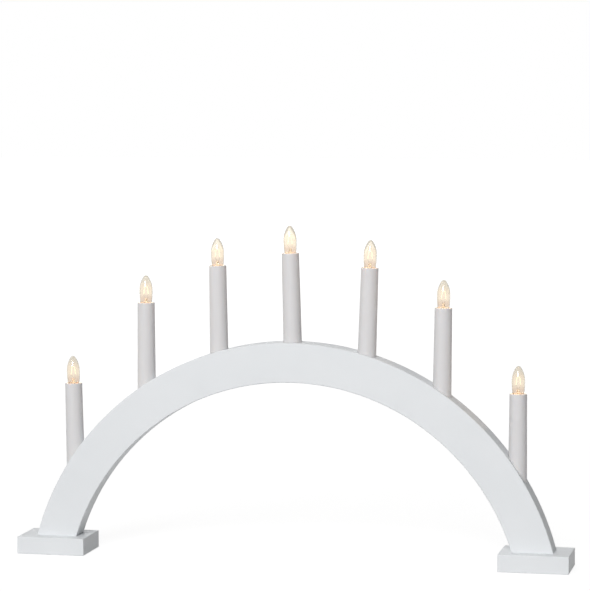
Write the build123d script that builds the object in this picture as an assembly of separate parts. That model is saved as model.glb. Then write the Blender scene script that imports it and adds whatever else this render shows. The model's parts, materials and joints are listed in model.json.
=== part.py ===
# Electric candle arch: a painted wooden ring segment on two block feet, with seven candle tubes
# in its upper edge. Each tube stands over a lamp holder that carries a small screw-in candle bulb.
# Millimetres, +Z up, +X along the arch, +Y to its back. The origin lies on the ground, midway
# between the feet and midway between the front and the back.

from math import asin, atan2, cos, degrees, radians, sin, sqrt
import os

from build123d import *

# Arch board
overall_width = 580.0
arch_inset = 7.5
arch_width = 41.0
arch_thickness = 27.0
arch_centre_depth = 55.5
board_edge_easing = 0.6

# Feet
foot_length = 72.5
foot_depth = 57.0
foot_height = 18.0
foot_edge_round = 0.7
pad_diameter = 12.0
pad_thickness = 1.5
pad_stand_out = 0.5
pad_inset = 11.0
pad_hole_clearance = 0.1

# Candle sleeves, which stand upright but for the small lean that each one shows. Each is as wide
# as the bulb and the lamp holder inside it need, and flares a little towards its foot.
end_candle_inset = 56.0
candle_leans = (-1.2, -0.2, -0.9, -1.5, 1.8, 0.7, 0.1)
sleeve_length = 96.0
sleeve_wall = 0.8
sleeve_flare = 0.7
sleeve_lip = 1.2
sleeve_lip_reach = 0.2
sleeve_mouth_clearance = 0.95
sleeve_top_round = 0.5
seat_clearance = 0.2
least_seat_depth = 4.0

# Lamp holders
holder_flange_clearance = 0.35
holder_flange_thickness = 1.6
holder_stem_diameter = 9.0
holder_stem_wall = 1.3
holder_spigot_length = 5.0
holder_spigot_clearance = 0.05
holder_cup_clearance = 1.35
holder_cup_wall = 1.1
holder_cup_height = 20.0
holder_cup_recess = 3.0
holder_floor = 2.0
holder_shoulder = 4.5
holder_chamber_wall = 1.4

# Screw thread of the bulb caps and the sockets, as plain rings
thread_pitch = 1.8
thread_turns = 4
thread_crest_diameter = 9.5
thread_root_diameter = 8.6
thread_clearance = 0.25
thread_step_share = 0.25
socket_sheet = 0.35
socket_play = 0.35
socket_flange_width = 1.1
socket_tab_width = 1.6
socket_tab_slot_clearance = 0.1
contact_head_diameter = 4.4
contact_head_height = 1.1
contact_shank_diameter = 1.6
contact_tail_thickness = 0.5
contact_tail_width = 1.8
contact_gap = 0.1

# Bulbs
bulb_above_sleeve = 28.4
bulb_diameter = 14.0
bulb_widest_height = 12.5
bulb_nose_radius = 3.08
bulb_belly_radius = 90.0
bulb_shoulder_height = 0.8
bulb_neck_length = 1.4
bulb_neck_clearance = 0.05
glass_wall = 0.5
cap_sheet = 0.3
cap_collar_height = 1.6
cap_collar_diameter = 9.8
cap_tip_diameter = 2.6
cap_tip_height = 1.1
cap_nose_height = 1.5
stem_glass_diameter = 4.0
stem_pinch_diameter = 2.2
stem_glass_height = 7.5
stem_flare_thickness = 0.8
support_wire_diameter = 0.4
support_wire_rise = 4.0
support_wire_spread = 2.4
filament_diameter = 0.5
filament_rise = 8.2
filament_bend_radius = 1.6

# Wire channel in the back of the board, with its cover
channel_width = 14.0
channel_front_depth = 4.0
channel_end_clearance = 2.5
cover_ledge = 6.0
cover_thickness = 2.5
cover_gap = 0.2
cover_screw_diameter = 2.4
cover_screw_head_diameter = 4.4
cover_screw_length = 11.0

# Screws through the feet
foot_screw_diameter = 4.0
foot_screw_head_diameter = 8.0
foot_screw_length = 30.0
foot_screw_spacing = 18.0
foot_screw_sink = 1.5
screw_hole_clearance = 0.05
screw_recess_share = 0.55
screw_recess_width_share = 0.16
screw_recess_depth_share = 0.35
screw_point_share = 0.9

# Grommet and wires
grommet_bore_diameter = 5.2
grommet_neck_diameter = 8.8
grommet_flange_diameter = 12.0
grommet_flange_thickness = 1.4
grommet_back_diameter = 11.0
grommet_back_thickness = 1.2
grommet_hole_clearance = 0.05
wire_diameter = 1.6
wire_offset = 1.9
return_wire_depth = 5.0
lead_end_gap = 1.0

# One overrun serves every cut that leaves a solid
overrun = 5.0

# Places worked out from the sizes above
arch_outer_radius = overall_width / 2 - arch_inset
arch_inner_radius = arch_outer_radius - arch_width
channel_radius = arch_outer_radius - arch_width / 2
foot_top = pad_stand_out + foot_height
back_face = arch_thickness / 2
cover_width = channel_width + 2 * cover_ledge
cover_front = back_face - cover_thickness
foot_centre = (overall_width - foot_length) / 2
foot_screw_tip = pad_stand_out + foot_screw_sink + foot_screw_length
lowest_channel = max(foot_screw_tip + channel_width / 2, foot_top + cover_width / 2)
channel_end = lowest_channel + channel_end_clearance
channel_end_angle = degrees(asin((channel_end + arch_centre_depth) / channel_radius))
candle_count = len(candle_leans)
candle_spacing = (overall_width - 2 * end_candle_inset) / (candle_count - 1)
bulb_radius = bulb_diameter / 2
shell_radius = thread_crest_diameter / 2 + thread_clearance + socket_sheet
cup_bore_radius = shell_radius + socket_play
cup_radius = cup_bore_radius + holder_cup_wall
mouth_radius = bulb_radius + sleeve_mouth_clearance
sleeve_bore_radius = max(mouth_radius + sleeve_lip_reach, cup_radius + holder_cup_clearance)
sleeve_top_radius = sleeve_bore_radius + sleeve_wall
sleeve_foot_radius = sleeve_top_radius + sleeve_flare
seat_radius = sleeve_foot_radius + seat_clearance
cup_rim = sleeve_length - holder_cup_recess
collar_top = cup_rim + socket_sheet + cap_collar_height - cap_sheet
thread_top = cup_rim - socket_sheet
thread_bottom = thread_top - thread_pitch * thread_turns
nose_bottom = thread_bottom - cap_nose_height
tip_bottom = nose_bottom - cap_tip_height
cup_floor = tip_bottom - contact_gap - contact_head_height
cup_base = cup_rim - holder_cup_height


# Height of a circle about the arch's centre, at a distance x from the middle
def height_on_circle(radius, x):
    return sqrt(radius**2 - x**2) - arch_centre_depth


# A flat plate between two Y planes, from a sketch of X and Z
def plate(sketch, front, back):
    return Pos(0, back, 0) * Rot(90, 0, 0) * extrude(sketch, amount=back - front)


# A slot with round ends that follows the arch, from one low end to the other
def arc_slot(radius, width, end_angle):
    line = CenterArc((0, -arch_centre_depth), radius, end_angle, 180 - 2 * end_angle)
    return SlotArc(line, width)


# A point on a circle about the arch's centre
def point_on_arc(radius, angle, y):
    across = radius * cos(radians(angle))
    up = radius * sin(radians(angle)) - arch_centre_depth
    return Pos(across, y, up)


# A solid of revolution about Z, from (radius, height) corners
def turned(corners):
    return revolve(make_face(Plane.XZ * Polyline(*corners, close=True)), Axis.Z)


# How deep a candle's seat goes below the arch's edge, so that it closes on the low side too
def seat_depth(index):
    x = abs(candle_x(index))
    fall = height_on_circle(arch_outer_radius, x) - height_on_circle(arch_outer_radius, x + seat_radius)
    return fall + least_seat_depth


def candle_x(index):
    return (index - (candle_count - 1) / 2) * candle_spacing


# The frame of one candle: its origin is on the seat's floor and its Z runs up the candle
def candle_frame(index):
    x = candle_x(index)
    lean = radians(candle_leans[index])
    depth = seat_depth(index)
    root = height_on_circle(arch_outer_radius, x)
    return Pos(x - depth * sin(lean), 0, root - depth * cos(lean)) * Rot(0, candle_leans[index], 0)


# Distance from the seat's floor down to the middle of the channel, beside the candle's axis
def drop_to_channel(index, offset):
    lean = radians(candle_leans[index])
    start = candle_frame(index) * Pos(offset, 0, 0)
    across = start.position.X
    up = start.position.Z + arch_centre_depth
    along = across * sin(lean) + up * cos(lean)
    return along - sqrt(along**2 - across**2 - up**2 + channel_radius**2)


# The angle about the arch's centre where a wire beside the candle's axis meets the channel
def channel_angle(index, offset):
    drop = drop_to_channel(index, offset)
    end = candle_frame(index) * Pos(offset, 0, -drop)
    return degrees(atan2(end.position.Z + arch_centre_depth, end.position.X))


# A countersunk screw along -Z, with its head's face at the origin
def screw(diameter, head_diameter, length):
    shank = diameter / 2
    head = head_diameter / 2
    cone = head - shank
    point = diameter * screw_point_share
    corners = [(0, 0), (head, 0), (shank, -cone), (shank, point - length), (0, -length)]
    arm = head_diameter * screw_recess_share
    slot = head_diameter * screw_recess_width_share
    deep = head_diameter * screw_recess_depth_share
    return turned(corners) - Box(arm, slot, deep) - Box(slot, arm, deep)


# The hole that takes that screw, open above its head
def screw_hole(diameter, head_diameter, length):
    shank = diameter / 2 + screw_hole_clearance
    head = head_diameter / 2 + screw_hole_clearance
    cone = head - shank
    high = overrun
    corners = [(0, high), (head, high), (head, 0), (shank, -cone), (shank, -length), (0, -length)]
    return turned(corners)


# Where the cover's screws sit: on its two ledges in turn, midway between the candles' wire holes
def cover_screw_places():
    ledge = (channel_width + cover_ledge) / 2
    wire_holes = [channel_angle(index, 0) for index in range(candle_count)]
    stops = [180 - channel_end_angle] + wire_holes + [channel_end_angle]
    places = []
    for index in range(candle_count + 1):
        side = 1 if index % 2 else -1
        angle = (stops[index] + stops[index + 1]) / 2
        spot = point_on_arc(channel_radius + side * ledge, angle, back_face)
        places.append(spot * Rot(-90, 0, 0))
    return places


# Where the feet's screws sit, heads down, under the middle of the board's ends
def foot_screw_places(side):
    outer = sqrt(arch_outer_radius**2 - (foot_top + arch_centre_depth) ** 2)
    inner = sqrt(arch_inner_radius**2 - (foot_top + arch_centre_depth) ** 2)
    middle = side * (outer + inner) / 2
    low = pad_stand_out + foot_screw_sink
    spread = (-foot_screw_spacing / 2, foot_screw_spacing / 2)
    return [Pos(middle + shift, 0, low) * Rot(180, 0, 0) for shift in spread]


# The ring segment with its eased edges, cut off square at the tops of the feet
def arch_ring():
    section = Rectangle(arch_width, arch_thickness)
    section = chamfer(section.vertices(), board_edge_easing)
    ring = revolve(Pos(channel_radius, 0) * section, Axis.Y)
    ring = Pos(0, 0, -arch_centre_depth) * ring
    reach = 2 * (arch_outer_radius + arch_centre_depth)
    ground = Box(reach, reach, reach, align=(Align.CENTER, Align.CENTER, Align.MAX))
    return ring - Pos(0, 0, foot_top) * ground


def arch_board():
    board = arch_ring()
    channel = arc_slot(channel_radius, channel_width, channel_end_angle)
    board -= plate(channel, -channel_front_depth, back_face + overrun)
    rebate = arc_slot(channel_radius, cover_width, channel_end_angle)
    board -= plate(rebate, cover_front, back_face + overrun)
    for index in range(candle_count):
        board -= candle_frame(index) * candle_hole(index)
    for place in cover_screw_places():
        board -= place * screw_hole(cover_screw_diameter, cover_screw_head_diameter, cover_screw_length)
    for place in foot_screw_places(-1) + foot_screw_places(1):
        board -= place * screw_hole(foot_screw_diameter, foot_screw_head_diameter, foot_screw_length)
    return board


# Seat for the sleeve, bore for the holder's spigot and passage for the wires, in one candle's frame
def candle_hole(index):
    align = (Align.CENTER, Align.CENTER, Align.MIN)
    down = (Align.CENTER, Align.CENTER, Align.MAX)
    deep = 2 * seat_depth(index) + overrun
    seat = Cylinder(seat_radius, deep, align=align)
    spigot = Cylinder(holder_stem_diameter / 2, holder_spigot_length, align=down)
    passage_radius = holder_stem_diameter / 2 - holder_stem_wall
    passage = Cylinder(passage_radius, drop_to_channel(index, 0), align=down)
    return seat + spigot + passage


def rear_cover():
    strip = arc_slot(channel_radius, cover_width - 2 * cover_gap, channel_end_angle)
    cover = plate(strip, cover_front, back_face)
    hole = Cylinder(grommet_neck_diameter / 2 + grommet_hole_clearance, arch_thickness)
    cover -= outlet_place() * hole
    for place in cover_screw_places():
        cover -= place * screw_hole(cover_screw_diameter, cover_screw_head_diameter, cover_screw_length)
    return cover


def cover_screws():
    one = screw(cover_screw_diameter, cover_screw_head_diameter, cover_screw_length)
    return Compound(children=[place * one for place in cover_screw_places()])


# The pads' places under one foot, on the ground
def pad_places(side):
    across = foot_length / 2 - pad_inset
    deep = foot_depth / 2 - pad_inset
    centre = side * foot_centre
    return [Pos(centre + x, y, 0) for x in (-across, across) for y in (-deep, deep)]


def foot(side):
    upwards = (Align.CENTER, Align.CENTER, Align.MIN)
    block = Box(foot_length, foot_depth, foot_height, align=upwards)
    block = fillet(block.edges(), foot_edge_round)
    block = Pos(side * foot_centre, 0, pad_stand_out) * block
    for place in pad_places(side):
        recess = Cylinder(pad_diameter / 2 + pad_hole_clearance, pad_thickness, align=upwards)
        block -= place * recess
    for place in foot_screw_places(side):
        block -= place * screw_hole(foot_screw_diameter, foot_screw_head_diameter, foot_screw_length)
    return block


def foot_screws():
    one = screw(foot_screw_diameter, foot_screw_head_diameter, foot_screw_length)
    places = foot_screw_places(-1) + foot_screw_places(1)
    return Compound(children=[place * one for place in places])


def felt_pads():
    upwards = (Align.CENTER, Align.CENTER, Align.MIN)
    pad = Cylinder(pad_diameter / 2, pad_thickness, align=upwards)
    return Compound(children=[place * pad for place in pad_places(-1) + pad_places(1)])


# The cord's way in: at the channel's right-hand end, square to the cover, with Z to the back
def outlet_place():
    return point_on_arc(channel_radius, channel_end_angle, back_face) * Rot(-90, 0, 0)


def cable_grommet():
    bore = grommet_bore_diameter / 2
    neck = grommet_neck_diameter / 2
    rim = grommet_flange_diameter / 2
    back = grommet_back_diameter / 2
    low = -cover_thickness - grommet_back_thickness
    corners = [
        (bore, low),
        (back, low),
        (back, -cover_thickness),
        (neck, -cover_thickness),
        (neck, 0),
        (rim, 0),
        (rim, grommet_flange_thickness / 2),
        (rim - grommet_flange_thickness / 2, grommet_flange_thickness),
        (bore, grommet_flange_thickness),
    ]
    return outlet_place() * turned(corners)


def sleeve():
    corners = [
        (sleeve_foot_radius - sleeve_wall, 0),
        (sleeve_foot_radius, 0),
        (sleeve_top_radius, sleeve_length - sleeve_top_round),
        (sleeve_top_radius - sleeve_top_round, sleeve_length),
        (mouth_radius, sleeve_length),
        (mouth_radius, sleeve_length - sleeve_lip),
        (sleeve_bore_radius, sleeve_length - sleeve_lip),
    ]
    return turned(corners)


def lamp_holder():
    stem = holder_stem_diameter / 2
    bore = stem - holder_stem_wall
    flange = sleeve_foot_radius - sleeve_wall - holder_flange_clearance
    chamber = cup_radius - holder_chamber_wall
    spigot = stem - holder_spigot_clearance
    outside = [
        (bore, -holder_spigot_length),
        (spigot, -holder_spigot_length),
        (spigot, 0),
        (flange, 0),
        (flange, holder_flange_thickness),
        (stem, holder_flange_thickness),
        (stem, cup_base - holder_shoulder),
        (cup_radius, cup_base),
        (cup_radius, cup_rim),
        (cup_bore_radius, cup_rim),
        (cup_bore_radius, cup_floor),
        (0, cup_floor),
        (0, cup_floor - holder_floor),
        (chamber, cup_floor - holder_floor),
        (chamber, cup_base),
        (bore, cup_base - holder_shoulder / 2),
    ]
    body = turned(outside)
    centre = Pos(0, 0, cup_floor - holder_floor / 2)
    shank = contact_shank_diameter / 2 + socket_tab_slot_clearance
    body -= centre * Cylinder(shank, 2 * holder_floor)
    body -= tab_place(cup_floor - holder_floor - overrun / 2, cup_floor, socket_tab_slot_clearance)
    return body


# The ring thread's outline, from its lower end up, at a set distance outside the cap's surface
def thread_line(outset):
    crest = thread_crest_diameter / 2 + outset
    root = thread_root_diameter / 2 + outset
    step = thread_pitch * thread_step_share
    line = []
    for turn in range(thread_turns):
        low = thread_bottom + turn * thread_pitch
        line += [(root, low), (root, low + step), (crest, low + 2 * step), (crest, low + 3 * step)]
    return line + [(root, thread_top)]


# The socket shell's tab, which hangs from its lower edge and goes through the cup's floor
def tab_place(low, high, clearance):
    outer = thread_root_diameter / 2 + thread_clearance + socket_sheet
    thick = socket_sheet + 2 * clearance
    wide = socket_tab_width + 2 * clearance
    middle = outer - socket_sheet / 2
    return Pos(-middle, 0, (low + high) / 2) * Box(thick, wide, high - low)


def socket_shell():
    inside = thread_line(thread_clearance)
    outside = thread_line(thread_clearance + socket_sheet)
    collar = cap_collar_diameter / 2 + thread_clearance
    flange = collar + socket_flange_width
    top = cup_rim + socket_sheet
    rim = [(collar, thread_top), (collar, top), (flange, top), (flange, cup_rim)]
    wall = [(collar + socket_sheet, cup_rim)]
    wall.append((collar + socket_sheet, thread_top - socket_sheet))
    shell = turned(inside + rim + wall + outside[-2::-1])
    tail_top = cup_floor - holder_floor
    outer = thread_root_diameter / 2 + thread_clearance + socket_sheet
    shell += tab_place(tail_top - contact_tail_thickness, thread_bottom + socket_sheet, 0)
    reach = outer - wire_offset + wire_diameter / 2
    tail = Box(reach, socket_tab_width, contact_tail_thickness)
    shell += Pos(reach / 2 - outer, 0, tail_top - contact_tail_thickness / 2) * tail
    return shell


def centre_contact():
    head = contact_head_diameter / 2
    shank = contact_shank_diameter / 2
    tail_top = cup_floor - holder_floor
    tail_low = tail_top - contact_tail_thickness
    crown = cup_floor + contact_head_height
    corners = [
        (0, tail_low),
        (shank, tail_low),
        (shank, cup_floor),
        (head, cup_floor),
        (head, (cup_floor + crown) / 2),
        (head / 2, crown),
        (0, crown),
    ]
    tail_reach = wire_offset + wire_diameter / 2
    tail = Box(tail_reach, contact_tail_width, contact_tail_thickness)
    tail = Pos(tail_reach / 2, 0, (tail_top + tail_low) / 2) * tail
    return turned(corners) + tail


# Half of the glass's outline in the XZ plane, set in by a wall: a small round nose, an ogive down
# to the widest place, a long belly, and a shoulder into the neck
def bulb_outline(inset):
    tip_height = sleeve_length + bulb_above_sleeve
    widest_height = sleeve_length + bulb_widest_height
    nose = bulb_nose_radius
    rise = tip_height - widest_height - nose
    ogive_radius = (bulb_radius**2 - nose**2 + rise**2) / (2 * (bulb_radius - nose))
    ogive_centre = bulb_radius - ogive_radius
    nose_angle = atan2(rise, -ogive_centre)
    ogive = ogive_radius - inset
    top = (0, tip_height - inset)
    join = (ogive_centre + ogive * cos(nose_angle), widest_height + ogive * sin(nose_angle))
    widest = (bulb_radius - inset, widest_height)
    shoulder_angle = asin((bulb_widest_height - bulb_shoulder_height) / bulb_belly_radius)
    belly = bulb_belly_radius - inset
    shoulder_radius = bulb_radius - bulb_belly_radius + belly * cos(shoulder_angle)
    shoulder = (shoulder_radius, widest_height - belly * sin(shoulder_angle))
    neck = cap_collar_diameter / 2 - cap_sheet - bulb_neck_clearance - inset
    neck_low = collar_top - bulb_neck_length
    round_nose = RadiusArc(top, join, nose - inset)
    long_belly = RadiusArc(widest, shoulder, belly)
    return [
        round_nose,
        RadiusArc(join, widest, ogive),
        long_belly,
        TangentArc(shoulder, (neck, collar_top), tangent=long_belly % 1),
        Line((neck, collar_top), (neck, neck_low)),
        Line((neck, neck_low), (0, neck_low)),
        Line((0, neck_low), top),
    ]


def bulb_glass():
    outside = make_face(bulb_outline(0))
    inside = make_face(bulb_outline(glass_wall))
    return revolve(Plane.XZ * (outside - inside), Axis.Z)


def bulb_cap():
    outside = thread_line(0)
    inside = thread_line(-cap_sheet)
    collar = cap_collar_diameter / 2
    tip = cap_tip_diameter / 2
    root = thread_root_diameter / 2
    nose = (root + tip) / 2
    corners = [(0, tip_bottom), (tip / 2, tip_bottom), (tip, nose_bottom), (nose, nose_bottom)]
    corners += outside
    corners += [(collar, thread_top + socket_sheet), (collar, collar_top)]
    corners += [(collar - cap_sheet, collar_top), (collar - cap_sheet, thread_top + socket_sheet)]
    corners += inside[::-1]
    corners += [(nose - cap_sheet, nose_bottom + cap_sheet), (0, nose_bottom + cap_sheet)]
    return turned(corners)


# A round rod along a path
def rod(path, radius):
    return sweep(Plane(path @ 0, z_dir=path % 0) * Circle(radius), path=path)


# Glass stem, two support wires and the filament that rises between them in a hairpin
def filament_mount():
    base = collar_top - bulb_neck_length
    neck = cap_collar_diameter / 2 - cap_sheet - bulb_neck_clearance - glass_wall
    flare = neck - bulb_neck_clearance
    wide = stem_glass_diameter / 2
    pinch = stem_pinch_diameter / 2
    top = base + stem_glass_height
    skirt = [(0, base), (flare, base), (flare, base + stem_flare_thickness)]
    mount = turned(skirt + [(wide, base + 2 * stem_flare_thickness), (pinch, top), (0, top)])
    wire = support_wire_diameter / 2
    thread = filament_diameter / 2
    low = top - stem_glass_height / 2
    hook = top + support_wire_rise
    bend = hook + filament_rise - filament_bend_radius
    for side in (-1, 1):
        joint = (side * support_wire_spread, hook)
        shoulder = (side * filament_bend_radius, bend)
        mount += rod(Plane.XZ * Line((side * pinch / 2, low), joint), wire)
        mount += rod(Plane.XZ * Line(joint, shoulder), thread)
        mount += Pos(joint[0], 0, joint[1]) * Sphere(thread)
        mount += Pos(shoulder[0], 0, shoulder[1]) * Sphere(thread)
    crown = (0, bend + filament_bend_radius)
    ends = ((-filament_bend_radius, bend), (filament_bend_radius, bend))
    return mount + rod(Plane.XZ * ThreePointArc(ends[0], crown, ends[1]), thread)


# A stretch of wire that follows the channel between two angles
def channel_wire(start, end, y):
    ring = Torus(channel_radius, wire_diameter / 2, major_angle=end - start, align=None)
    ring = Pos(0, y, -arch_centre_depth) * Rot(90, 0, 0) * Rot(0, 0, start) * ring
    joints = [point_on_arc(channel_radius, angle, y) * Sphere(wire_diameter / 2) for angle in (start, end)]
    return ring + joints[0] + joints[1]


# A wire's upright leg inside one candle, from the contacts' tails down to the channel
def wire_leg(index, offset):
    down = (Align.CENTER, Align.CENTER, Align.MAX)
    high = cup_floor - holder_floor - contact_tail_thickness
    leg = Cylinder(wire_diameter / 2, high + drop_to_channel(index, offset), align=down)
    return candle_frame(index) * Pos(offset, 0, high) * leg


# A short stretch of wire from front to back at one angle of the channel
def cross_wire(angle, front, back):
    align = (Align.CENTER, Align.CENTER, Align.MIN)
    stretch = Cylinder(wire_diameter / 2, back - front, align=align)
    return point_on_arc(channel_radius, angle, front) * Rot(-90, 0, 0) * stretch


# One wire from each candle's centre contact to the next candle's socket shell
def link_wires():
    wires = []
    for index in range(candle_count - 1):
        left = channel_angle(index, wire_offset)
        right = channel_angle(index + 1, -wire_offset)
        wire = wire_leg(index, wire_offset) + wire_leg(index + 1, -wire_offset)
        wires.append(wire + channel_wire(right, left, 0))
    return Compound(children=wires)


# The outlet's two wires: to the last candle, and back along the channel to the first
def lead_wires():
    last = candle_count - 1
    lead_end = cover_front - grommet_back_thickness - lead_end_gap
    spread = degrees(wire_diameter / channel_radius)
    low = channel_end_angle - spread
    high = channel_end_angle + spread
    near = wire_leg(last, wire_offset) + channel_wire(low, channel_angle(last, wire_offset), 0)
    near += cross_wire(low, 0, lead_end)
    far_angle = channel_angle(0, -wire_offset)
    far = wire_leg(0, -wire_offset) + cross_wire(far_angle, 0, return_wire_depth)
    far += point_on_arc(channel_radius, far_angle, 0) * Sphere(wire_diameter / 2)
    far += channel_wire(high, far_angle, return_wire_depth)
    far += cross_wire(high, return_wire_depth, lead_end)
    return Compound(children=[near, far])


def save(name, solid):
    export_step(solid, f"parts/{name}.step")


os.makedirs("parts", exist_ok=True)
save("arch_board", arch_board())
save("rear_cover", rear_cover())
save("cover_screws", cover_screws())
save("left_foot", foot(-1))
save("right_foot", foot(1))
save("foot_screws", foot_screws())
save("felt_pads", felt_pads())
save("cable_grommet", cable_grommet())
save("link_wires", link_wires())
save("lead_wires", lead_wires())

candle_pieces = {
    "candle_sleeve": sleeve(),
    "lamp_holder": lamp_holder(),
    "socket_shell": socket_shell(),
    "centre_contact": centre_contact(),
    "bulb_glass": bulb_glass(),
    "bulb_cap": bulb_cap(),
    "filament_mount": filament_mount(),
}
for index in range(candle_count):
    frame = candle_frame(index)
    for name, piece in candle_pieces.items():
        save(f"{name}_{index + 1}", frame * piece)

for index in range(candle_count):
    frame = candle_frame(index)
    print("candle", index + 1, "seat floor", frame.position, "lean", candle_leans[index])
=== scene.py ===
# %% [markdown]
# # A seven-light candle arch
#
# This lesson dresses a measured model of an electric candle arch: a white painted board bent
# into a ring segment, two block feet, and seven candle tubes that each carry a small lit bulb.
# The measured model comes first and never moves. Blender gives every surface its finish, builds
# the fine parts inside the bulbs, and sets up the studio.
#
# The model is in metres. Each of its pieces is an object at the origin whose place is in its
# mesh, so Object coordinates are true sizes on every piece: a noise scale of 1000 gives grains
# of about a millimetre.

# %% Load the measured model
import json
import math

import bmesh
import bpy
from mathutils import Matrix, Vector


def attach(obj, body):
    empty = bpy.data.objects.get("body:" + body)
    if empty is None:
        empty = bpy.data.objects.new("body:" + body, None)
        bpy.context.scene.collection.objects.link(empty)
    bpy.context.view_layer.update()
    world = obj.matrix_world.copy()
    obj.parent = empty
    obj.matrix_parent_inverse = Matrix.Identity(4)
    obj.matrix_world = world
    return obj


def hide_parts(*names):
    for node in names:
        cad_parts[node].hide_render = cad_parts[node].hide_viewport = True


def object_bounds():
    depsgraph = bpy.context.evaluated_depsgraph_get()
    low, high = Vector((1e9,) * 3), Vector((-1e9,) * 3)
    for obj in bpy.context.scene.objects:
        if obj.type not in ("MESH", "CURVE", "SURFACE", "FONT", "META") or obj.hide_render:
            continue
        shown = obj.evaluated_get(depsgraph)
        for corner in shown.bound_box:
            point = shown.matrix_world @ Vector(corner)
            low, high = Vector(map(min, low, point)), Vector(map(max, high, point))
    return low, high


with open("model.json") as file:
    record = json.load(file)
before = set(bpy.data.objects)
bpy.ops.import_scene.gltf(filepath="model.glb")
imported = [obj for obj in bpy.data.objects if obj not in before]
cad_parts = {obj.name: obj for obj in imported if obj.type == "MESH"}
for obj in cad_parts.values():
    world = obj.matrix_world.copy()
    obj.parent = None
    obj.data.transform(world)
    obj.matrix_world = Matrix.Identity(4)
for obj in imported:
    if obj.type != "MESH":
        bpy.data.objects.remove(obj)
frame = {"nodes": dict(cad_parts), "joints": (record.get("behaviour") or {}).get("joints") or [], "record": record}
cad_low, cad_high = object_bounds()
MM = 0.001
candle_numbers = range(1, 1 + sum(name.startswith("candle_sleeve_") for name in frame["nodes"]))
print("pieces", len(frame["nodes"]), "candles", len(candle_numbers))
print("size in mm", [round(length / MM, 1) for length in cad_high - cad_low])

# %% [markdown]
# ## Helpers for materials
#
# A finish is a small node tree: coordinates feed a pattern, the pattern feeds a colour ramp, a
# roughness range or a bump, and these feed one Principled shader. A few short helpers keep
# each recipe down to the numbers that matter. Values that are the same all over a surface go on
# the shader's own sockets.

# %% Node helpers
def add_node(tree, kind, inputs=None, **settings):
    made = tree.nodes.new(kind)
    for name, value in settings.items():
        setattr(made, name, value)
    for name, value in (inputs or {}).items():
        if isinstance(value, bpy.types.NodeSocket):
            tree.links.new(value, made.inputs[name])
        else:
            made.inputs[name].default_value = value
    return made


def colour_ramp(tree, factor, stops):
    ramp = add_node(tree, "ShaderNodeValToRGB", {"Fac": factor})
    elements = ramp.color_ramp.elements
    while len(elements) < len(stops):
        elements.new(0.5)
    for element, (place, colour) in zip(elements, stops):
        element.position = place
        element.color = (*colour, 1.0)
    return ramp.outputs["Color"]


def value_range(tree, factor, low, high):
    inputs = {"Value": factor, "To Min": low, "To Max": high}
    return add_node(tree, "ShaderNodeMapRange", inputs).outputs["Result"]


def grain(tree, scale, stretch=(1.0, 1.0, 1.0), detail=3.0):
    place = add_node(tree, "ShaderNodeTexCoord").outputs["Object"]
    mapping = add_node(tree, "ShaderNodeMapping", {"Vector": place, "Scale": stretch})
    inputs = {"Vector": mapping.outputs["Vector"], "Scale": scale, "Detail": detail}
    return add_node(tree, "ShaderNodeTexNoise", inputs).outputs["Fac"]


def bumped(tree, height, depth):
    inputs = {"Height": height, "Distance": depth, "Strength": 1.0}
    return add_node(tree, "ShaderNodeBump", inputs).outputs["Normal"]


def new_finish(name, **constants):
    material = bpy.data.materials.new(name)
    material.use_nodes = True
    shader = material.node_tree.nodes["Principled BSDF"]
    for socket, value in constants.items():
        shader.inputs[socket.replace("_", " ")].default_value = value
    return material, material.node_tree, shader


def feed(tree, shader, **sources):
    for socket, source in sources.items():
        tree.links.new(source, shader.inputs[socket.replace("_", " ")])


print("node helpers ready")

# %% [markdown]
# ## White paint
#
# The board and the feet are smooth boards sprayed with a satin white paint. Under a lamp such
# paint isn't one flat white: its thickness drifts over a hand's breadth, and it dries with a
# faint orange-peel skin about a millimetre across. A wide noise gives the drift in colour, a
# finer one gives patches that are a little more or less glossy, and the finest gives the skin
# as a bump of a few hundredths of a millimetre.

# %% Satin paint
paint_light = (0.785, 0.803, 0.820)
paint_deep = (0.765, 0.785, 0.803)
paint_gloss = (0.38, 0.52)
drift_scale = 14.0
patch_scale = 60.0
skin_scale = 900.0
skin_depth = 0.03 * MM


def satin_paint():
    material, tree, shader = new_finish("satin_white_paint", Specular_IOR_Level=0.45)
    drift = grain(tree, drift_scale, detail=2.0)
    skin = grain(tree, skin_scale, detail=1.5)
    colour = colour_ramp(tree, drift, [(0.35, paint_deep), (0.65, paint_light)])
    gloss = value_range(tree, grain(tree, patch_scale), *paint_gloss)
    feed(tree, shader, Base_Color=colour, Roughness=gloss, Normal=bumped(tree, skin, skin_depth))
    return material


print("orange peel in mm", round(1 / (skin_scale * MM), 2))

# %% [markdown]
# ## Moulded plastic
#
# The candle tubes and the lamp holders are moulded in white plastic. A tube is drawn off a
# long core, so its faint flow marks run along it: the same noise as before, but squeezed to a
# twentieth of its frequency along Z. A little light goes into the plastic and comes out beside
# it, which keeps its shadows soft, and that is the shader's subsurface share.

# %% Tube and holder plastics
tube_light = (0.722, 0.711, 0.715)
tube_deep = (0.699, 0.686, 0.692)
holder_light = (0.790, 0.780, 0.750)
holder_deep = (0.760, 0.750, 0.720)
tube_gloss = (0.34, 0.46)
holder_gloss = (0.28, 0.40)
along_tube = (1.0, 1.0, 0.05)
flow_scale = 320.0
rub_scale = 180.0
mould_scale = 1400.0
mould_depth = 0.01 * MM
scatter_reach = (1.6 * MM, 1.2 * MM, 0.9 * MM)


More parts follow.
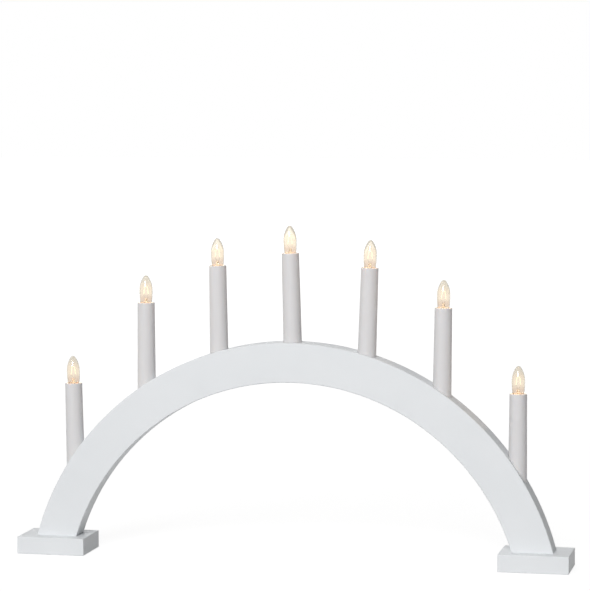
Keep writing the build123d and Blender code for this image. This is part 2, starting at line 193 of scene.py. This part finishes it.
def moulded_plastic(name, light, deep, gloss_ends):
    material, tree, shader = new_finish(
        name, Specular_IOR_Level=0.5, Subsurface_Weight=0.08, Subsurface_Radius=scatter_reach,
        Subsurface_Scale=1.0)
    flow = grain(tree, flow_scale, stretch=along_tube)
    colour = colour_ramp(tree, flow, [(0.3, deep), (0.7, light)])
    gloss = value_range(tree, grain(tree, rub_scale, stretch=along_tube), *gloss_ends)
    normal = bumped(tree, grain(tree, mould_scale, detail=1.0), mould_depth)
    feed(tree, shader, Base_Color=colour, Roughness=gloss, Normal=normal)
    return material


print("flow marks in mm across and along", round(1 / (flow_scale * MM), 1),
      round(1 / (flow_scale * along_tube[2] * MM), 1))

# %% [markdown]
# ## Metals
#
# Rolled brass makes the caps, socket shells and contacts, and zinc-plated steel the screws. A
# metal's colour is its reflection, so Metallic is 1 and the pattern goes mostly into roughness:
# handling marks broaden the highlights in patches. A few darker specks in the brass are where
# it has begun to tarnish.

# %% Brass and screw steel
mark_depth = 0.008 * MM
broad_marks = 0.6


def rubbed_metal(name, bright, dull, gloss_ends, scale):
    material, tree, shader = new_finish(name, Metallic=1.0)
    marks = grain(tree, scale, detail=6.0)
    colour = colour_ramp(tree, marks, [(0.36, dull), (0.58, bright)])
    gloss = value_range(tree, grain(tree, broad_marks * scale, detail=4.0), *gloss_ends)
    normal = bumped(tree, marks, mark_depth)
    feed(tree, shader, Base_Color=colour, Roughness=gloss, Normal=normal)
    return material


print("depth of the handling marks in mm", mark_depth / MM)

# %% [markdown]
# ## Insulation, rubber and felt
#
# The wires have a soft vinyl skin, the grommet is moulded rubber, and the feet stand on pressed
# felt. All three share one recipe, a noise of many octaves for colour and bump. Vinyl is the
# smoothest of them, and rubber is matt all over. Felt is a mat of fibres, so its grain is the
# finest and its bump the deepest, and a sheen stands for the loose hairs that catch light at
# its edge.

# %% Soft finishes
def soft_skin(name, light, deep, rough, scale, depth, sheen=0.0):
    material, tree, shader = new_finish(
        name, Roughness=rough, Sheen_Weight=sheen, Specular_IOR_Level=0.3)
    fibre = grain(tree, scale, detail=8.0)
    colour = colour_ramp(tree, fibre, [(0.3, deep), (0.7, light)])
    feed(tree, shader, Base_Color=colour, Normal=bumped(tree, fibre, depth))
    return material


print("recipe for vinyl, rubber and felt ready")

# %% [markdown]
# ## Make the shared finishes
#
# Each call gives one finish its light and deep colour, its gloss from the smoothest patch to
# the roughest, the fineness of its grain and the depth of its bump. They go into one table
# under the names that the record has for them.

# %% Make the shared finishes
brass_bright = (0.78, 0.60, 0.30)
brass_dull = (0.60, 0.43, 0.19)
nickel_bright = (0.70, 0.68, 0.64)
nickel_dull = (0.52, 0.50, 0.47)
zinc_bright = (0.66, 0.66, 0.67)
zinc_dull = (0.50, 0.50, 0.52)
finishes = {
    "white_paint": satin_paint(),
    "sleeve_plastic": moulded_plastic("tube_plastic", tube_light, tube_deep, tube_gloss),
    "holder_plastic": moulded_plastic("holder_plastic", holder_light, holder_deep, holder_gloss),
    "contact_brass": rubbed_metal(
        "contact_brass", brass_bright, brass_dull, (0.18, 0.36), 700.0),
    "cap_brass": rubbed_metal("cap_brass", brass_bright, brass_dull, (0.24, 0.42), 900.0),
    "screw_steel": rubbed_metal("screw_steel", zinc_bright, zinc_dull, (0.25, 0.45), 800.0),
    "wire_insulation": soft_skin(
        "wire_vinyl", (0.83, 0.83, 0.81), (0.78, 0.78, 0.76), 0.45, 1500.0, 0.01 * MM),
    "white_rubber": soft_skin(
        "grommet_rubber", (0.80, 0.80, 0.79), (0.74, 0.74, 0.73), 0.62, 900.0, 0.02 * MM),
    "felt": soft_skin(
        "pressed_felt", (0.74, 0.74, 0.72), (0.58, 0.58, 0.56), 0.95, 2600.0, 0.15 * MM, 0.4),
}
print("finishes", sorted(finishes))

# %% [markdown]
# ## Dress the measured pieces
#
# The record says which finish each measured piece has, so the loop reads it there. The bulbs'
# glass is left for later, because its finish depends on the height in its own candle, and so
# are the parts inside it, because finer pieces replace them.

# %% Assign the shared finishes
slot_of = {part["node"]: part["material_slot"] for part in frame["record"]["subparts"]}


def give_finish(piece, finish):
    if not piece.material_slots:
        piece.data.materials.append(finish)
    for slot in piece.material_slots:
        slot.material = finish


dressed = [name for name in frame["nodes"] if slot_of[name] in finishes]
for name in dressed:
    give_finish(frame["nodes"][name], finishes[slot_of[name]])
print("pieces dressed", len(dressed))

# %% [markdown]
# ## Each candle's own frame
#
# The seven candles stand a little out of true, as hand-set candles do. Everything inside a
# bulb is built upright in a frame of its own, whose origin is where the bulb's thread begins
# and whose Z runs up the candle, and is then put in place by one matrix. The joint that lets
# the bulb unscrew gives both. Heights that the new parts need are measured on the candle's
# measured pieces in the same frame.

# %% Candle frames and heights
joints = {joint["name"]: joint for joint in frame["joints"]}


def candle_place(number):
    joint = joints[f"bulb_{number}_unscrew"]
    turn = Vector((0.0, 0.0, 1.0)).rotation_difference(Vector(joint["axis"]))
    return Matrix.Translation(joint["pos_m"]) @ turn.to_matrix().to_4x4()


def heights(name, place):
    back = place.inverted()
    rises = [(back @ vertex.co).z for vertex in frame["nodes"][name].data.vertices]
    return min(rises), max(rises)


places = {number: candle_place(number) for number in candle_numbers}
tube_rim = heights("candle_sleeve_1", places[1])[1]
neck_low, bulb_tip = heights("bulb_glass_1", places[1])
rises = (tube_rim, neck_low, bulb_tip)
print("tube rim, neck and tip in mm", [round(rise / MM, 2) for rise in rises])

# %% [markdown]
# ## Lit glass
#
# The bulbs are clear glass with a filament alight inside. The glass's tint is painted light and
# shade: the light that the filament throws on the inner wall is painted as a warm veil, strongest
# in the middle of the bulb, while the nose stays grey and the neck carries a painted reflection of
# the beige tube and cap below it. The height in the candle's own frame drives a ramp for the tint,
# and a very faint emission stands for the veil. Layer Weight darkens the tint towards the outline,
# a painted shade where a rounded wall shows darker refractions. The glass stays smooth all over,
# because rough glass this thin only adds noise. Lamps look through it by way of a Transparent
# shader for shadow rays, so that the light inside reaches the tubes.

# %% Bulb glass
# Painted light in the glass's tint: the neck's beige is a painted reflection of the tube and cap, and the middle's
# warmth is painted filament light.
neck_painted_reflection = (0.852, 0.766, 0.682)
veil_painted_light = (0.866, 0.802, 0.712)
nose_tint = (0.825, 0.792, 0.728)
# Painted shade: the glass darkens to this colour along its outline.
outline_painted_shade = (0.545, 0.515, 0.465)
veil_light = (1.0, 0.97, 0.88)
veil_strength = 0.035
dark = (0.0, 0.0, 0.0)
outline_ends = (0.35, 0.95)
painted_light_stops = [
    (0.0, neck_painted_reflection), (0.18, neck_painted_reflection), (0.30, veil_painted_light), (0.62, veil_painted_light), (0.82, nose_tint)]
veil_stops = [(0.16, dark), (0.32, veil_light), (0.56, veil_light), (0.80, dark)]


def height_in_candle(tree, place):
    model = add_node(tree, "ShaderNodeTexCoord").outputs["Object"]
    inputs = {"Vector": model, "Location": place.translation, "Rotation": place.to_euler()}
    local = add_node(tree, "ShaderNodeMapping", inputs, vector_type="TEXTURE")
    parts = add_node(tree, "ShaderNodeSeparateXYZ", {"Vector": local.outputs["Vector"]})
    return parts.outputs["Z"]


def share_of_range(tree, height, low, high):
    inputs = {"Value": height, "From Min": low, "From Max": high}
    return add_node(tree, "ShaderNodeMapRange", inputs).outputs["Result"]


def faded(tree, factor, colour, end):
    mix = add_node(tree, "ShaderNodeMix", data_type="RGBA")
    first, last = (socket for socket in mix.inputs if socket.type == "RGBA")
    tree.links.new(factor, mix.inputs[0])
    tree.links.new(colour, first)
    last.default_value = (*end, 1.0)
    return next(socket for socket in mix.outputs if socket.type == "RGBA")


def lit_glass(name, place):
    material, tree, shader = new_finish(
        name, Transmission_Weight=1.0, IOR=1.47, Roughness=0.03, Emission_Strength=veil_strength)
    rise = share_of_range(tree, height_in_candle(tree, place), tube_rim, bulb_tip)
    facing = add_node(tree, "ShaderNodeLayerWeight", {"Blend": 0.5}).outputs["Facing"]
    edge = share_of_range(tree, facing, *outline_ends)
    # The tint is painted light and shade: filament glow and the cap's reflection set by height, and a painted dark
    # outline set by Layer Weight.
    tint = faded(tree, edge, colour_ramp(tree, rise, painted_light_stops), outline_painted_shade)
    veil = faded(tree, facing, colour_ramp(tree, rise, veil_stops), dark)
    feed(tree, shader, Base_Color=tint, Emission_Color=veil)
    for_lamps = add_node(tree, "ShaderNodeBsdfTransparent")
    path = add_node(tree, "ShaderNodeLightPath").outputs["Is Shadow Ray"]
    inputs = {0: path, 1: shader.outputs["BSDF"], 2: for_lamps.outputs["BSDF"]}
    joined = add_node(tree, "ShaderNodeMixShader", inputs)
    tree.links.new(joined.outputs["Shader"], tree.nodes["Material Output"].inputs["Surface"])
    return material


for number in candle_numbers:
    glass = lit_glass(f"lit_glass_{number}", places[number])
    give_finish(frame["nodes"][f"bulb_glass_{number}"], glass)
print("bulbs glazed", len(places))

# %% [markdown]
# ## Stem, support wires and filament
#
# Inside a small candle bulb a glass stem stands on a flare that is melted to the neck. Its top
# is pinched flat round two nickel wires. They spread, turn up at their ends, and hold a coiled
# tungsten filament that rises between them in a hairpin. The measured model holds these three
# as one plain solid, so finer pieces replace it: a spun and pinched stem, two bent wires, and a
# real coil whose turns are worked out by a loop along the hairpin.

# %% Sizes inside a bulb
flare_radius = 3.9 * MM
flare_height = 0.8 * MM
flare_top = neck_low + 2.5 * flare_height
stem_radius = 1.7 * MM
stem_top = neck_low + 7.5 * MM
pinch_radius = 1.2 * MM
pinch_wide = 1.25
pinch_flat = 0.45
wires_low = stem_top - 3 * pinch_radius
wire_radius = 0.18 * MM
wire_spread = 2.4 * MM
filament_foot = stem_top + 4.0 * MM
hairpin_height = 8.2 * MM
hairpin_bend = 1.6 * MM
coil_radius = 0.22 * MM
coil_wire_radius = 0.045 * MM
coil_pitch = 0.3 * MM
points_a_turn = 10
round_steps = 24
print("top of the hairpin above the thread in mm", round((filament_foot + hairpin_height) / MM, 1))

# %% [markdown]
# The stem is a body of revolution, so half its outline is spun round the candle's axis. The
# pinch is then a flattening of the vertices near the top. Spin leaves doubles on the axis, so
# they are merged, and after that the normals are recalculated, because a spun shape can come
# out inside out.

# %% Glass stem
def finished_piece(name, mesh_data, place, finish, number):
    piece = bpy.data.objects.new(f"{name}_{number}", mesh_data)
    bpy.context.scene.collection.objects.link(piece)
    mesh_data.transform(place)
    give_finish(piece, finish)
    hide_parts(f"filament_mount_{number}")
    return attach(piece, f"bulb_{number}")


def stem_mesh():
    shape = bmesh.new()
    profile = [
        (0.0, neck_low),
        (flare_radius, neck_low),
        (flare_radius, neck_low + flare_height),
        (stem_radius, flare_top),
        (stem_radius, wires_low),
        (pinch_radius, stem_top - pinch_radius),
        (pinch_radius, stem_top),
        (0.0, stem_top),
    ]
    points = [shape.verts.new((radius, 0.0, rise)) for radius, rise in profile]
    edges = [shape.edges.new(pair) for pair in zip(points, points[1:])]
    bmesh.ops.spin(
        shape, geom=points + edges, axis=(0, 0, 1), cent=(0, 0, 0),
        angle=2 * math.pi, steps=round_steps, use_merge=True)
    bmesh.ops.remove_doubles(shape, verts=shape.verts, dist=0.001 * MM)
    pinched = [vertex for vertex in shape.verts if vertex.co.z > stem_top - 2 * pinch_radius]
    bmesh.ops.scale(shape, vec=(pinch_wide, pinch_flat, 1.0), verts=pinched)
    bmesh.ops.recalc_face_normals(shape, faces=shape.faces)
    return shape


print("stem length in mm", round((stem_top - neck_low) / MM, 1))

# %% [markdown]
# The filament's path is a hairpin: two straight legs that lean in, and a half turn between
# them. A Screw modifier would give a straight coil only, and this one bends, so one function
# gives the point and the direction at any distance along the path, and a loop lays the coil's
# turns round that point. The support wires follow a few points through the pinch and out to
# the filament's feet. Wires and coil are curves with a bevel, made into meshes at once, so that
# their place can be put into the mesh.

# %% Filament path and wires
leg = hairpin_height - hairpin_bend
leg_lean = wire_spread - hairpin_bend
leg_length = math.hypot(leg, leg_lean)
bend_length = math.pi * hairpin_bend
path_length = 2 * leg_length + bend_length


def hairpin(travel):
    """Point on the hairpin and its direction, at a distance from its left foot."""
    if travel > path_length / 2:
        point, along = hairpin(path_length - travel)
        return Vector((-point.x, 0.0, point.z)), Vector((along.x, 0.0, -along.z))
    if travel < leg_length:
        share = travel / leg_length
        point = Vector((share * leg_lean - wire_spread, 0.0, filament_foot + share * leg))
        return point, Vector((leg_lean, 0.0, leg)) / leg_length
    turn = (travel - leg_length) / hairpin_bend
    centre = Vector((0.0, 0.0, filament_foot + leg))
    point = centre + hairpin_bend * Vector((-math.cos(turn), 0.0, math.sin(turn)))
    return point, Vector((math.sin(turn), 0.0, math.cos(turn)))


def coil_points():
    count = round(path_length / coil_pitch * points_a_turn)
    out_of_plane = Vector((0.0, 1.0, 0.0))
    points = []
    for index in range(count + 1):
        centre, along = hairpin(path_length * index / count)
        turn = 2 * math.pi * index / points_a_turn
        side = along.cross(out_of_plane)
        across = side * math.cos(turn) + out_of_plane * math.sin(turn)
        points.append(centre + coil_radius * across)
    return points


def support_points(side):
    return [
        Vector((side * 0.4 * pinch_radius, 0.0, wires_low)),
        Vector((side * 0.5 * pinch_radius, 0.0, stem_top)),
        Vector((side * 0.75 * wire_spread, 0.0, stem_top + 0.45 * (filament_foot - stem_top))),
        Vector((side * wire_spread, 0.0, filament_foot - 2 * wire_radius)),
        Vector((side * wire_spread, 0.0, filament_foot + 2 * wire_radius)),
    ]


def wire_mesh(name, lines, radius, smooth):
    curve = bpy.data.curves.new(name, "CURVE")
    curve.dimensions = "3D"
    curve.bevel_depth = radius
    curve.bevel_resolution = 1
    curve.use_fill_caps = True
    for points in lines:
        spline = curve.splines.new("NURBS" if smooth else "POLY")
        spline.points.add(len(points) - 1)
        for spot, point in zip(spline.points, points):
            spot.co = (*point, 1.0)
        if smooth:
            spline.use_endpoint_u = True
            spline.order_u = 3
            spline.resolution_u = 4
    holder = bpy.data.objects.new(name, curve)
    bpy.context.scene.collection.objects.link(holder)
    depsgraph = bpy.context.evaluated_depsgraph_get()
    made = bpy.data.meshes.new_from_object(holder.evaluated_get(depsgraph))
    bpy.data.objects.remove(holder)
    return made


print("hairpin length in mm", round(path_length / MM, 1))

# %% [markdown]
# The stem is glass, the wires are nickel, and the coil glows. A real filament is far brighter
# than the studio, but a line this thin would burn out to plain white and speckle the tubes
# with noise. So the coil's emission goes only as far as a warm white, and a small lamp in each
# bulb, which is set up with the studio, carries the light that it throws on its tube. The stem
# stands in that light and passes some on, so it gets a faint warm emission of its own.

# %% Finishes inside a bulb
stem_light = (1.0, 0.84, 0.62, 1.0)
stem_glow = 0.12
stem_tints = [(0.3, (0.86, 0.80, 0.70)), (0.7, (0.95, 0.90, 0.82))]
streak_scale = 500.0
tungsten_grey = (0.30, 0.27, 0.24, 1.0)
coil_heats = [(0.2, (1.0, 0.66, 0.33)), (0.8, (1.0, 0.78, 0.48))]
heat_scale = 400.0
coil_glow = 3.0
nickel_gloss = (0.25, 0.4)


def stem_glass_finish():
    material, tree, shader = new_finish(
        "stem_glass", Transmission_Weight=0.85, IOR=1.52, Roughness=0.05,
        Emission_Color=stem_light, Emission_Strength=stem_glow)
    streaks = grain(tree, streak_scale, stretch=along_tube)
    feed(tree, shader, Base_Color=colour_ramp(tree, streaks, stem_tints))
    return material


def glow_finish():
    material, tree, shader = new_finish(
        "glowing_tungsten", Base_Color=tungsten_grey, Metallic=1.0, Roughness=0.4,
        Emission_Strength=coil_glow)
    heat = grain(tree, heat_scale, detail=1.0)
    feed(tree, shader, Emission_Color=colour_ramp(tree, heat, coil_heats))
    return material


stem_glass = stem_glass_finish()
support_nickel = rubbed_metal("support_nickel", nickel_bright, nickel_dull, nickel_gloss, 1200.0)
glowing_tungsten = glow_finish()
print("inside a bulb", stem_glass.name, support_nickel.name, glowing_tungsten.name)

# %% [markdown]
# Each bulb gets its own stem, wires and coil, moved into its candle's place and set to ride on
# its bulb's body, so that they turn with it. Together they stand for the plain filament mount
# of the measured model, which is then hidden.

# %% Build the inside of each bulb
for number in candle_numbers:
    stem_shape = stem_mesh()
    stem_data = bpy.data.meshes.new("stem_glass")
    stem_shape.to_mesh(stem_data)
    stem_shape.free()
    finished_piece("stem_glass", stem_data, places[number], stem_glass, number)
    supports = wire_mesh("supports", [support_points(-1), support_points(1)], wire_radius, True)
    finished_piece("support_wires", supports, places[number], support_nickel, number)
    coil = wire_mesh("coil", [coil_points()], coil_wire_radius, False)
    finished_piece("filament_coil", coil, places[number], glowing_tungsten, number)
print("triangles in one coil", sum(len(face.vertices) - 2 for face in coil.polygons))

# %% [markdown]
# ## Studio
#
# The photograph is a cut-out on pure white. A floor and a world that the camera and the glass
# see as white at a strength of 1 give that without putting more light on the object. Near the
# arch the floor glows a little less and adds some diffuse white, and that part darkens in the
# arch's shadow. Further off the glow rises to 1, so that no line shows at the horizon. Diffuse
# light meets a plain pale floor instead, which lifts the arch's underside a little.

# %% Studio floor
floor_glow = 0.90
near_floor = 0.5
far_floor = 2.5
floor_white = (0.68, 0.68, 0.68, 1.0)
shadow_share = (0.20, 0.20, 0.20, 1.0)
floor_half = 15.0


def either(tree, first, second):
    larger = add_node(tree, "ShaderNodeMath", {0: first, 1: second}, operation="MAXIMUM")
    return larger.outputs[0]


def studio_floor():
    shape = bmesh.new()
    bmesh.ops.create_grid(shape, x_segments=1, y_segments=1, size=floor_half)
    data = bpy.data.meshes.new("studio_floor")
    shape.to_mesh(data)
    shape.free()
    floor = bpy.data.objects.new("studio_floor", data)
    bpy.context.scene.collection.objects.link(floor)
    material = bpy.data.materials.new("studio_white")
    material.use_nodes = True
    tree = material.node_tree
    tree.nodes.remove(tree.nodes["Principled BSDF"])
    place = add_node(tree, "ShaderNodeTexCoord").outputs["Object"]
    away = add_node(tree, "ShaderNodeVectorMath", {0: place}, operation="LENGTH").outputs["Value"]
    fade = {"Value": away, "From Min": near_floor, "From Max": far_floor, "To Min": floor_glow}
    strength = add_node(tree, "ShaderNodeMapRange", fade).outputs["Result"]
    glow = add_node(tree, "ShaderNodeEmission", {"Strength": strength})
    soft = add_node(tree, "ShaderNodeBsdfDiffuse", {"Color": shadow_share})
    seen = add_node(tree, "ShaderNodeAddShader", {0: glow.outputs[0], 1: soft.outputs[0]})
    plain = add_node(tree, "ShaderNodeBsdfDiffuse", {"Color": floor_white})
    path = add_node(tree, "ShaderNodeLightPath").outputs
    mirrored = either(tree, path["Is Camera Ray"], path["Is Glossy Ray"])
    direct = either(tree, mirrored, path["Is Transmission Ray"])
    inputs = {0: direct, 1: plain.outputs[0], 2: seen.outputs[0]}
    joined = add_node(tree, "ShaderNodeMixShader", inputs)
    tree.links.new(joined.outputs[0], tree.nodes["Material Output"].inputs["Surface"])
    give_finish(floor, material)


studio_floor()
print("floor's side in m", 2 * floor_half)

# %% [markdown]
# ## Sky
#
# The world has three faces, picked by the kind of ray that meets it. The camera and the glass
# see plain white. Diffuse light comes from a grey sky that dims to the right, so the
# right-hand sides stay darker, as they are in the photograph. Mirrors see white on the left
# and a darker wall on the right, which gives the tubes' satin its shape.

# %% Studio sky
sky_level = 0.245
white = (1.0, 1.0, 1.0)
right_sky = (0.44, 0.44, 0.44)
right_wall = (0.28, 0.28, 0.28)


def studio_sky():
    world = bpy.data.worlds.new("studio_sky")
    world.use_nodes = True
    bpy.context.scene.world = world
    tree = world.node_tree
    direction = add_node(tree, "ShaderNodeTexCoord").outputs["Generated"]
    across = add_node(tree, "ShaderNodeSeparateXYZ", {"Vector": direction}).outputs["X"]
    ends = {"Value": across, "From Min": -1.0}
    side = add_node(tree, "ShaderNodeMapRange", ends).outputs["Result"]
    shade = tree.nodes["Background"]
    shade.inputs["Strength"].default_value = sky_level
    sky_colour = colour_ramp(tree, side, [(0.0, white), (1.0, right_sky)])
    tree.links.new(sky_colour, shade.inputs["Color"])
    wall_colour = colour_ramp(tree, side, [(0.52, white), (0.75, right_wall)])
    mirrored = add_node(tree, "ShaderNodeBackground", {"Color": wall_colour})
    plain = add_node(tree, "ShaderNodeBackground", {"Color": (*white, 1.0)})
    path = add_node(tree, "ShaderNodeLightPath").outputs
    seen = either(tree, path["Is Camera Ray"], path["Is Transmission Ray"])
    unseen = add_node(tree, "ShaderNodeMixShader", {
        0: path["Is Glossy Ray"], 1: shade.outputs[0], 2: mirrored.outputs[0]})
    joined = add_node(tree, "ShaderNodeMixShader", {
        0: seen, 1: unseen.outputs[0], 2: plain.outputs[0]})
    tree.links.new(joined.outputs[0], tree.nodes["World Output"].inputs["Surface"])


studio_sky()
print("sky strength", sky_level)

# %% [markdown]
# ## Lamps
#
# One large softbox stands high in front, a little to the left, because in the photograph the
# fronts are evenly bright and the right-hand sides darker. It stands far off, so that the crown
# gets hardly more light than the feet. A second softbox behind lights the back for the other
# views. It only lights: the camera, mirrors and glass don't see it. Each bulb gets a small warm
# lamp at its filament.

# %% Softboxes and bulb lamps
key_azimuth = math.radians(-4.0)
key_elevation = math.radians(31.0)
key_watts = 495.0
back_azimuth = math.radians(196.0)
back_elevation = math.radians(3.0)
back_watts = 430.0
softbox_distance = 8.0
softbox_side = 3.6
bulb_watts = 0.018
bulb_colour = (1.0, 0.70, 0.45)
filament_middle = Vector((0.0, 0.0, filament_foot + hairpin_height / 2))


def add_lamp(lamp, place):
    holder = bpy.data.objects.new(lamp.name, lamp)
    bpy.context.scene.collection.objects.link(holder)
    holder.location = place
    return holder


def only_lights(holder):
    holder.visible_camera = False
    holder.visible_glossy = False
    holder.visible_transmission = False


def softbox(name, azimuth, elevation, watts):
    lamp = bpy.data.lights.new(name, "AREA")
    lamp.size = softbox_side
    lamp.energy = watts
    way = Vector((math.sin(azimuth), -math.cos(azimuth), math.tan(elevation))).normalized()
    holder = add_lamp(lamp, (cad_low + cad_high) / 2 + softbox_distance * way)
    holder.rotation_euler = way.to_track_quat("Z", "Y").to_euler()
    return holder


def bulb_lamp(number):
    lamp = bpy.data.lights.new(f"bulb_lamp_{number}", "POINT")
    lamp.energy = bulb_watts
    lamp.color = bulb_colour
    lamp.shadow_soft_size = hairpin_bend
    only_lights(add_lamp(lamp, places[number] @ filament_middle))


softbox("key_softbox", key_azimuth, key_elevation, key_watts)
only_lights(softbox("back_softbox", back_azimuth, back_elevation, back_watts))
for number in candle_numbers:
    bulb_lamp(number)
print("lamps", len(bpy.data.lights))

# %% [markdown]
# ## Camera
#
# The photograph was taken with a long lens from a little right of the middle, at about eye
# level for somebody seated: the tops of the feet and the inner side of the left leg show. The
# place, aim and lens below were worked out from the arch's edges and the feet.

# %% Camera
camera_place = Vector((0.573, -2.642, 0.4885))
camera_yaw = math.radians(12.185)
camera_pitch = math.radians(4.515)
lens_length = 160.4
camera = bpy.data.objects.new("camera", bpy.data.cameras.new("camera"))
bpy.context.scene.collection.objects.link(camera)
camera.location = camera_place
camera.rotation_euler = (math.pi / 2 - camera_pitch, 0.0, camera_yaw)
camera.data.lens = lens_length
bpy.context.scene.camera = camera
bpy.context.scene.view_settings.view_transform = "Standard"
camera_distance = (camera_place - (cad_low + cad_high) / 2).length
print("camera from the arch's middle in m", round(camera_distance, 2))
